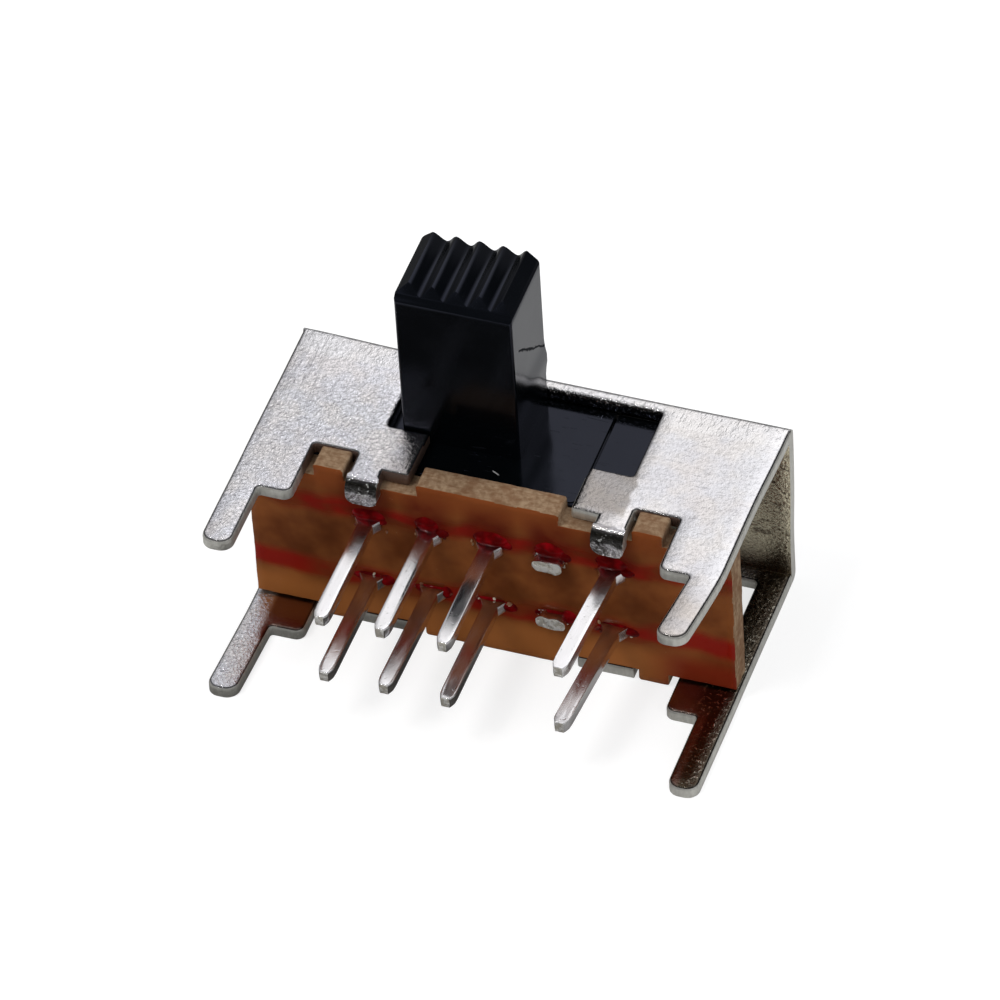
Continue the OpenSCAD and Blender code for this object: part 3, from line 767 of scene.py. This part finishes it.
def phenolic_board():
    """Brown resin-bonded paper: a satin face with two stained bands, and pale fibrous cut edges."""
    made, r = material("phenolic_board")
    x, y, z = r.axes
    mottle = r.grain(0.55, 3.0, 0.55)
    fibre = r.grain(6.0, 3.0, 0.6)
    at_face = r.between(y, BOARD_FACE + 0.4, BOARD_FACE + 0.1)

    face = r.mix(r.between(mottle, 0.3, 0.7), FACE_DARK, FACE_PALE)
    face = r.coat(face, HIGH_WARM, r.between(z, ROW_A + 0.7, ROW_A + 1.5), 0.7)
    low_tone = r.mix(r.between(x, 4.6, 6.4), LOW_WARM, LOW_WARM_RIGHT)
    face = r.coat(face, low_tone, r.between(z, ROW_B - 0.1, ROW_B - 1.1), 0.8)
    face = r.coat(face, SPECK, r.between(r.cells(2.4), 0.05, 0.02), 0.55)

    thick = r.between(r.grain(0.7, 2.0, 0.5, r.spread((0.7, 1.0, 1.6))), 0.38, 0.60)
    ends = r.times(r.between(r.absolute(x), 5.2, 6.6), r.between(z, ROW_A - 0.6, ROW_A - 1.0))
    thick = r.most(thick, ends)
    thin_tone = r.mix(r.between(z, ROW_A - 0.2, ROW_A + 0.2), RED_THIN, RED_THIN_ABOVE)
    stain = r.times(stain_share(r), at_face)
    cover = r.times(stain, r.between(thick, 0.0, 1.0, 0.62, 0.92))
    face = r.mix(cover, face, r.mix(thick, thin_tone, RED_THICK))
    face = r.coat(face, RED_HAZE, r.times(haze_share(r), at_face), 0.9)

    cut = r.mark("cut")
    r.surface({
        "Base Color": r.mix(cut, face, paper_tone(r, fibre)),
        "Roughness": r.blend(cut, r.blend(stain, 0.34, 0.24), 0.85),
        "IOR": 1.15,
        "Normal": r.mix(cut, r.relief(mottle, 0.03, 0.4), r.relief(fibre, 0.014, 0.9)),
    })
    return made


# ---- small materials ----

LACQUER_DEEP, LACQUER_RED = (0.060, 0.0004, 0.0006), (0.18, 0.0008, 0.003)
CRUMB_RED, CRUMB_PAPER, CRUMB_RESIN = (0.10, 0.004, 0.003), (0.30, 0.17, 0.09), (0.62, 0.58, 0.46)
CRUMB_DIRT = (0.10, 0.05, 0.02)
BRONZE_DARK, BRONZE_BRIGHT, BRONZE_WORN = (0.55, 0.40, 0.20), (0.80, 0.62, 0.36), (0.42, 0.26, 0.12)
STEEL_DARK, STEEL_BRIGHT, STEEL_OIL = (0.50, 0.50, 0.51), (0.68, 0.68, 0.68), (0.40, 0.36, 0.30)


def red_lacquer():
    """Thick glossy lacquer, near black where it is deep."""
    made, r = material("red_lacquer")
    depth = r.grain(2.4)
    r.surface({
        "Base Color": r.mix(r.between(depth, 0.4, 0.75), LACQUER_DEEP, LACQUER_RED),
        "Roughness": r.between(depth, 0.3, 0.7, 0.05, 0.12),
        "IOR": 1.16,
        "Normal": r.relief(r.grain(4.0), 0.012, 0.8),
    })
    return made


def crumb_grit():
    """Crumbs: mostly pale resin and paper, some of them stained red or brown."""
    made, r = material("crumb_grit")
    kind = r.cells(1.3, output="Color")
    share = r.node("ShaderNodeSeparateColor", {0: kind}).outputs[0]
    tone = r.mix(r.between(share, 0.35, 0.6), CRUMB_RED, CRUMB_PAPER)
    tone = r.mix(r.between(share, 0.72, 0.85), tone, CRUMB_RESIN)
    tone = r.coat(tone, CRUMB_DIRT, r.grain(20.0), 0.4)
    r.surface({
        "Base Color": tone,
        "Roughness": r.between(share, 0.2, 0.9, 0.2, 0.5),
        "IOR": 1.45,
        "Normal": r.relief(r.grain(14.0), 0.01, 0.7),
    })
    return made


def contact_metal():
    """Satin spring bronze with rolling lines along the strip."""
    made, r = material("contact_metal")
    lines = r.grain(6.0, 3.0, 0.6, r.spread((0.2, 3.0, 3.0)))
    tone = r.mix(lines, BRONZE_DARK, BRONZE_BRIGHT)
    tone = r.mix(r.between(r.grain(1.5), 0.55, 0.75), tone, BRONZE_WORN)
    r.surface({
        "Base Color": tone,
        "Metallic": 1.0,
        "Roughness": r.between(lines, 0.3, 0.7, 0.24, 0.38),
        "Normal": r.relief(lines, 0.004, 0.6),
    })
    return made


def spring_steel():
    """Drawn and polished steel of the detent's spring and ball."""
    made, r = material("spring_steel")
    drawn = r.grain(12.0)
    tone = r.mix(drawn, STEEL_DARK, STEEL_BRIGHT)
    tone = r.mix(r.between(r.grain(1.2), 0.5, 0.8), tone, STEEL_OIL)
    r.surface({
        "Base Color": tone,
        "Metallic": 1.0,
        "Roughness": r.between(drawn, 0.3, 0.7, 0.12, 0.24),
        "Normal": r.relief(drawn, 0.002, 0.5),
    })
    return made


# ---- shaping, in millimetres ----

MERGE_DISTANCE = 0.0005
CUT_DISTANCE = 0.0002
FLAT_ANGLE = math.radians(0.3)
SHARP_ANGLE = math.radians(35.0)
SMOOTH_ANGLE = math.radians(50.0)
NORMAL_WEIGHT = 80


def open_copy(node):
    """A CAD node's mesh in millimetres, merged, with its flat faces whole."""
    work = bmesh.new()
    work.from_mesh(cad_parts[node].data)
    bmesh.ops.scale(work, vec=(1 / MM,) * 3, verts=work.verts)
    bmesh.ops.remove_doubles(work, verts=work.verts, dist=MERGE_DISTANCE)
    bmesh.ops.dissolve_limit(work, angle_limit=FLAT_ANGLE, verts=work.verts, edges=work.edges)
    return work


def ease_edges(work, width, segments=2, wanted=None, held=True):
    """Rounds the sharp edges by width; where held, by no more than the shortest edge leaves room for."""
    edges = [
        e for e in work.edges
        if len(e.link_faces) == 2 and e.calc_face_angle(0) > SHARP_ANGLE and (wanted is None or wanted(e))
    ]
    bmesh.ops.bevel(
        work, geom=edges, offset=width, offset_type="OFFSET", segments=segments,
        profile=0.5, affect="EDGES", clamp_overlap=held,
    )


def slice_up(work, steps):
    """Cuts a mesh into cells, so that bends and dents have something to move."""
    for axis, step in enumerate(steps):
        if not step:
            continue
        values = [v.co[axis] for v in work.verts]
        low, high = min(values), max(values)
        count = max(1, round((high - low) / step))
        normal = [0, 0, 0]
        normal[axis] = 1
        for k in range(1, count):
            middle = [0, 0, 0]
            middle[axis] = low + (high - low) * k / count
            parts = work.verts[:] + work.edges[:] + work.faces[:]
            bmesh.ops.bisect_plane(work, geom=parts, dist=CUT_DISTANCE, plane_co=middle, plane_no=normal)


def put_in_order(parts, place):
    """Numbers a mesh's points or faces by where they are, so that their order is the same in every run."""
    for number, part in enumerate(sorted(parts, key=place)):
        part.index = number
    parts.sort()


def close_piece(work, name, finish, body, nodes, marks=None):
    """Turns the worked mesh into a piece that stands for its CAD nodes.

    marks are named shares kept on its faces, each from a function of a face's middle and normal.
    """
    mesh = bpy.data.meshes.new(name)
    bmesh.ops.scale(work, vec=(MM,) * 3, verts=work.verts)
    put_in_order(work.verts, lambda v: v.co[:])
    put_in_order(work.faces, lambda f: f.calc_center_median()[:])
    work.to_mesh(mesh)
    work.free()
    mesh.shade_smooth()
    mesh.set_sharp_from_angle(angle=SMOOTH_ANGLE)
    piece = bpy.data.objects.new(name, mesh)
    bpy.context.scene.collection.objects.link(piece)
    even = piece.modifiers.new("even", "WEIGHTED_NORMAL")
    even.keep_sharp = True
    even.weight = NORMAL_WEIGHT
    baked = bpy.data.meshes.new_from_object(piece.evaluated_get(bpy.context.evaluated_depsgraph_get()))
    piece.modifiers.clear()
    piece.data = baked
    baked.name = name
    baked.materials.clear()
    baked.materials.append(finish)
    for label, share in (marks or {}).items():
        layer = baked.attributes.new(label, "FLOAT", "FACE")
        layer.data.foreach_set("value", [float(share(f.center / MM, f.normal)) for f in baked.polygons])
    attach(piece, body)
    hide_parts(*nodes)


def ramp(value, low, high):
    """Smooth share of the way from low to high."""
    t = min(max((value - low) / (high - low), 0.0), 1.0)
    return t * t * (3 - 2 * t)


# ---- frame ----

# A face looks along an axis when its normal's part on it is larger than FACING, and stands across
# it when that part is smaller than EDGE_ON.
FACING = 0.8
EDGE_ON = 0.6
MID_HEIGHT = 3
TAB_BEND = 6
BACK_FOLD = 0.6
# Tilts in degrees at which the painted dark reflection on a rolled rim starts, is whole, begins to go and is
# gone.
RIM_START, RIM_FULL, RIM_FADE, RIM_END = 22, 38, 54, 70
# The rolled edges get their full radius. The others are held to about 0.0001 by the shortest edge, and
# so stay sharp.
ROLL_RADIUS, EDGE_RADIUS = 0.14, 0.04
FRAME_CELL = 0.5

# How far the real sheet strays from true.
LEG_TOP, LEG_REACH = 0.4, 3.05
RIGHT_LEG_LEAN, RIGHT_LEG_CURVE = 0.33, 1.2
RIGHT_END_STRAY = 0.09
LEFT_CORNER_STRAY = 0.10
LOW_LEFT_LEG_LEAN = 0.12
LOW_RIGHT_LEG_PUSH = 0.06
RIGHT_EAR_STRAY = Vector((-0.08, 0.10, -0.03))
BUCKLE, BUCKLE_SCALE = 0.012, 0.45


def in_slot(middle):
    """True on the walls and rolled edges of the knob's slot."""
    return (
        abs(middle.x) < SLOT_HALF
        and SLOT_FRONT < middle.y < BACK_INNER + 0.05
        and middle.z > PLATE_UNDER - 0.05
    )


def frame_cut(middle, normal):
    """1 on the sheet's sheared edges, 0 on its rolled faces and in the slot."""
    if in_slot(middle):
        return 0
    if abs(normal.x) > FACING:
        return 1
    in_plate = middle.z > PLATE_UNDER or middle.z < SHEET
    at_tab = middle.y < BOARD_FACE + 0.35 and abs(abs(middle.x) - TAB_X) < TAB_HALF
    if at_tab and MID_HEIGHT < middle.z < PLATE_TOP:
        return 1 if normal.z < -FACING and middle.z < TAB_BEND else 0
    if in_plate and abs(normal.z) < EDGE_ON and middle.y < FRAME_HIGH.y - BACK_FOLD:
        return 1
    return 0


def frame_rim(middle, normal):
    """1 where the sheet rolls over at an edge or at the tabs' bends, which is where a dark reflection is
    painted.
    """
    if in_slot(middle):
        return normal.z < 0.7
    on_inner_back = middle.y > BACK_INNER and middle.z < PLATE_UNDER
    if normal.z < 0.1 or normal.y > 0.4 or on_inner_back:
        return 0
    tilt = math.degrees(math.acos(min(normal.z, 1.0)))
    return ramp(tilt, RIM_START, RIM_FULL) * ramp(-tilt, -RIM_END, -RIM_FADE)


def bend_frame(co):
    """How far the real sheet strays from true at a point: legs that lean, an ear and a corner out of line."""
    right, left = ramp(co.x, 6.2, 7.2), ramp(-co.x, 6.2, 7.2)
    upper = ramp(co.z, 1.5, 5.5)
    lower = 1 - upper
    down = max(0.0, LEG_TOP - co.y) / LEG_REACH
    move = Vector((0, 0, 0))
    move.x -= RIGHT_LEG_LEAN * upper * right * down ** RIGHT_LEG_CURVE
    move.x += RIGHT_END_STRAY * upper * ramp(co.x, 5.0, 8.0) * ramp(co.y, 3.0, 7.0)
    move.y += LEFT_CORNER_STRAY * upper * ramp(-co.x, 4.5, 8.0) * ramp(co.y, 5.5, 7.0)
    move.x -= LOW_LEFT_LEG_LEAN * lower * left * down
    move.y -= LOW_RIGHT_LEG_PUSH * lower * right * ramp(-co.y, 2.0, 3.0)
    ear = upper * ramp(-co.x, -4.4, -2.7) * ramp(co.x, 0.0, 1.0) * ramp(-co.y, -3.7, -3.4)
    move += ear * RIGHT_EAR_STRAY
    move += BUCKLE * noise.noise_vector(co * BUCKLE_SCALE)
    return move


def make_frame(finish):
    work = open_copy("frame")

    def on_show_face(edge):
        """Edges of the two faces that the punch rolled over."""
        heights = [v.co.z for v in edge.verts]
        return any(all(abs(h - level) < 0.01 for h in heights) for level in (PLATE_TOP, SHEET))

    ease_edges(work, ROLL_RADIUS, segments=4, wanted=on_show_face, held=False)
    ease_edges(work, EDGE_RADIUS)
    slice_up(work, (FRAME_CELL,) * 3)
    for vertex in work.verts:
        vertex.co += bend_frame(vertex.co)
    marks = {"cut": frame_cut, "rim": frame_rim}
    close_piece(work, "frame_sheet", finish, "housing", ["frame"], marks)


# ---- slider ----

# Held to about 0.001 by the shortest edge, so the edges stay as crisp as in the CAD model.
SLIDER_EDGE = 0.045
SLIDER_CELL = 0.3
FLASH_LOW, FLASH_HIGH, FLASH_SOFT = 7.5, 8.8, 0.5
FLASH_REACH = 0.07


def make_slider(finish):
    """The moulding with a lip of flash low on the knob's right side."""
    work = open_copy("slider")
    ease_edges(work, SLIDER_EDGE)
    slice_up(work, (0, 0, SLIDER_CELL))
    for vertex in work.verts:
        co = vertex.co
        from_low = ramp(co.z, FLASH_LOW, FLASH_LOW + FLASH_SOFT)
        from_high = ramp(-co.z, -FLASH_HIGH, FLASH_SOFT - FLASH_HIGH)
        rear_corner = ramp(co.x, 0.1, KNOB_RIGHT) * ramp(co.y, 5.9, 6.5)
        co.x += FLASH_REACH * from_low * from_high * rear_corner
    close_piece(work, "slider_block", finish, "slider", ["slider"])


# ---- board ----

BOARD_EDGE = 0.02
BOARD_CELLS = (0.25, 0.3, 0.25)
BOARD_EDGE_HEIGHT = 2.4
FRAY, FRAY_SCALE = 0.018, 3.1


def board_cut(middle, normal):
    """1 on the board's punched edges, 0 on its two faces."""
    return abs(normal.y) < 0.7


def make_board(finish):
    """The board with frayed edges round its outline."""
    work = open_copy("board")
    ease_edges(work, BOARD_EDGE, segments=1)
    slice_up(work, BOARD_CELLS)
    for vertex in work.verts:
        co = vertex.co
        if abs(co.z - BOARD_MIDDLE) > BOARD_EDGE_HEIGHT or abs(co.x) > BOARD_END:
            jitter = noise.noise_vector(co * FRAY_SCALE)
            vertex.co += Vector((jitter.x, 0.2 * jitter.y, jitter.z)) * FRAY
    close_piece(work, "terminal_board", finish, "housing", ["board"], {"cut": board_cut})


# ---- terminals ----

# How far each tip leans along X.
PIN_LEAN = {
    "a1": -0.04, "a2": -0.06, "a3": -0.02, "a4": -0.26,
    "b1": -0.05, "b2": -0.08, "b3": -0.05, "b4": -0.34,
}
# Held to about 0.035 by the shortest edge, and to about 0.001 on the fourth terminal of each row.
PIN_EDGE = 0.075
PIN_CELLS = (0.125, 0.15, 0.13)
TIP_LEN, TIP_ROUNDS = 0.35, 4
# A slight wave along each terminal, which is another one for every lean.
PIN_WAVE, PIN_WAVE_SCALE, PIN_WAVE_STEP = 0.04, 0.4, 40
# The staked stubs are spread by the hammer, by one factor across and another one up, and lumpy.
STUB_HALF = 0.8
STUB_SPREAD = (1.4, 1.15)
STUB_LUMPS, STUB_LUMP_SCALE = 0.04, 4.0


def pin_cut(middle, normal):
    """1 on the faces that the cutter and the hammer left."""
    return normal.y < -0.75


def make_terminals(finish):
    """Eight terminals that lean a little, with rounded tips and spread stubs."""
    for name, lean in PIN_LEAN.items():
        node = "terminal_" + name
        row_z = ROW_A if name.startswith("a") else ROW_B
        work = open_copy(node)
        ease_edges(work, PIN_EDGE, segments=3)
        slice_up(work, PIN_CELLS)
        tip = [v for v in work.verts if v.co.y < TIP_LEN - PIN_LEN]
        for _ in range(TIP_ROUNDS):
            bmesh.ops.smooth_vert(
                work, verts=tip, factor=0.5, use_axis_x=True, use_axis_y=True, use_axis_z=True,
            )
        for vertex in work.verts:
            co = vertex.co
            down = max(0.0, BOARD_FACE - 0.3 - co.y) / (BOARD_FACE + PIN_LEN)
            co.x += lean * down
            wave = noise.noise(Vector((len(name), co.y * PIN_WAVE_SCALE, lean * PIN_WAVE_STEP)))
            co.z += PIN_WAVE * wave * down
            if name.endswith("4") and co.y < BOARD_FACE and abs(co.x - STUB_X) < STUB_HALF:
                co.x = STUB_X + (co.x - STUB_X) * STUB_SPREAD[0]
                co.z = row_z + (co.z - row_z) * STUB_SPREAD[1]
                vertex.co += STUB_LUMPS * noise.noise_vector(co * STUB_LUMP_SCALE)
        close_piece(work, "pin_" + name, finish, "housing", [node], {"cut": pin_cut})


# ---- lacquer and crumbs ----

# Each row's blobs and their side runs: half sizes, the run's shift from its blob, the depth of the middles
# behind the board's face, their height above the row, and the largest lumps.
LACQUER = {
    "a": {
        "blob": (0.58, 0.32, 0.36), "run": (0.30, 0.26, 0.22), "shift": (0.46, 0, -0.16),
        "sink": 0.14, "lift": 0.36, "seed": 3,
    },
    "b": {
        "blob": (0.70, 0.26, 0.28), "run": (0.28, 0.28, 0.28), "shift": (0.50, 0, 0.0),
        "sink": 0.14, "lift": 0.06, "seed": 11,
    },
}
LACQUER_LUMPS, LACQUER_LUMP_SCALE = 0.13, 1.7
LACQUER_STRAY = (0.07 * MM, 0, 0.05 * MM)
LOBE_SCALES = (0.75, 0.8, 0.75), (1.2, 1.2, 1.15)
LOBE_FINENESS = 4
RUN_SEED = 7

CRUMBS_EACH = 12
CRUMB_SPREAD = (0.62 * MM, 0.03 * MM, 0.24 * MM)
CRUMB_SIZE = 0.10
CRUMB_SCALES = (0.25, 0.2, 0.25), (1.0, 0.5, 0.8)
CRUMB_FINENESS = 2
CRUMB_SEED = 5
CRUMB_LUMPS, CRUMB_LUMP_SCALE = 0.08, 9.0
FULL_TURN = 6.28


def lacquer_row(name, row_z, sizes, finish):
    """Five uneven blobs of lacquer along one row, each with a smaller run, flat where they meet the board."""
    g = Grower(name, {
        "Pitch": PITCH * MM, "First": (FIRST_X * MM, (BOARD_FACE + sizes["sink"]) * MM, row_z * MM),
        "Blob": tuple(v * MM for v in sizes["blob"]), "Run": tuple(v * MM for v in sizes["run"]),
        "Run shift": tuple(v * MM for v in sizes["shift"]), "Lumps": LACQUER_LUMPS * MM,
        "Face": (BOARD_FACE + 0.01) * MM, "Seed": sizes["seed"],
    })

    def lobes(shape, start, seed_step):
        seed = g.plus(g.given["Seed"], seed_step)
        stray = g.any_vector(tuple(-v for v in LACQUER_STRAY), LACQUER_STRAY, seed)
        strayed = g.shift(g.columns(start), Offset=stray)
        size = g.any_vector(*LOBE_SCALES, seed)
        return g.balls(strayed, 1.0, LOBE_FINENESS, Scale=g.vectors("MULTIPLY", shape, size))

    blobs = lobes(g.given["Blob"], g.given["First"], 0)
    runs = lobes(g.given["Run"], g.vectors("ADD", g.given["First"], g.given["Run shift"]), RUN_SEED)
    lumpy = g.roughen(g.realize(g.join(blobs, runs)), LACQUER_LUMP_SCALE, 1.5, g.given["Lumps"])
    place = g.node("ShaderNodeSeparateXYZ", {0: g.node("GeometryNodeInputPosition").outputs[0]}).outputs
    held = g.calc("MINIMUM", place["Y"], g.given["Face"])
    flat = g.shift(lumpy, Position=g.vector(place["X"], held, place["Z"]))
    return g.grow(flat, finish)


def make_lacquer(finish):
    for row, row_z in (("a", ROW_A), ("b", ROW_B)):
        sizes = LACQUER[row]
        piece = lacquer_row("lacquer_" + row, row_z + sizes["lift"], sizes, finish)
        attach(piece, "housing")
        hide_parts("seal_" + row)


def make_crumbs(finish):
    """Crumbs of board and tin that the punch left round every terminal."""
    g = Grower("punch_crumbs", {
        "Pitch": PITCH * MM, "First": (FIRST_X * MM, (BOARD_FACE - 0.02) * MM, ROW_B * MM),
        "Row pitch": (ROW_A - ROW_B) * MM, "Each": CRUMBS_EACH, "Spread": CRUMB_SPREAD,
        "Largest": CRUMB_SIZE * MM, "Seed": CRUMB_SEED,
    })

    def row_points(row):
        rise = g.vector(0.0, 0.0, g.times(g.given["Row pitch"], row))
        return g.columns(g.vectors("ADD", g.given["First"], rise))

    points = g.node("GeometryNodeMeshToPoints", {0: g.join(row_points(0), row_points(1))})
    many = g.node("GeometryNodeDuplicateElements", {
        0: points.outputs[0], "Amount": g.given["Each"],
    }, domain="POINT")
    seed = g.given["Seed"]
    stray = g.any_vector((-1, -1, -1), (1, 1, 1), seed)
    strayed = g.shift(many.outputs[0], Offset=g.vectors("MULTIPLY", stray, g.given["Spread"]))
    turn = g.any_vector((0, 0, 0), (FULL_TURN,) * 3, g.plus(seed, 1))
    scale = g.any_vector(*CRUMB_SCALES, g.plus(seed, 2))
    balls = g.balls(strayed, g.given["Largest"], CRUMB_FINENESS, Rotation=turn, Scale=scale)
    grit = g.realize(balls)
    piece = g.grow(g.roughen(grit, CRUMB_LUMP_SCALE, 1.0, CRUMB_LUMPS * MM), finish)
    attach(piece, "housing")


def paint(finish, *nodes):
    """Gives CAD nodes that keep their shape their own finish."""
    for node in nodes:
        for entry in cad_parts[node].material_slots:
            entry.material = finish


place_camera()
light_world()
hang_lamp("key", (-160, -120, 330), 160, 0.62, (1.0, 0.99, 0.97))
hang_lamp("fill", (260, -200, 160), 220, 0.30, (0.96, 0.98, 1.0))
hang_lamp("rear", (60, 280, 260), 200, 0.40)
hang_lamp("glint", (-70, -75, 300), 14, 0.05, mirrored=True)
lay_floor()
make_frame(plated_steel())
make_slider(black_plastic())
make_board(phenolic_board())
make_terminals(tinned_metal())
make_lacquer(red_lacquer())
make_crumbs(crumb_grit())
paint(contact_metal(), "clip_a", "clip_b")
paint(spring_steel(), "detent_spring", "detent_ball")

bpy.context.scene.view_settings.view_transform = "Standard"
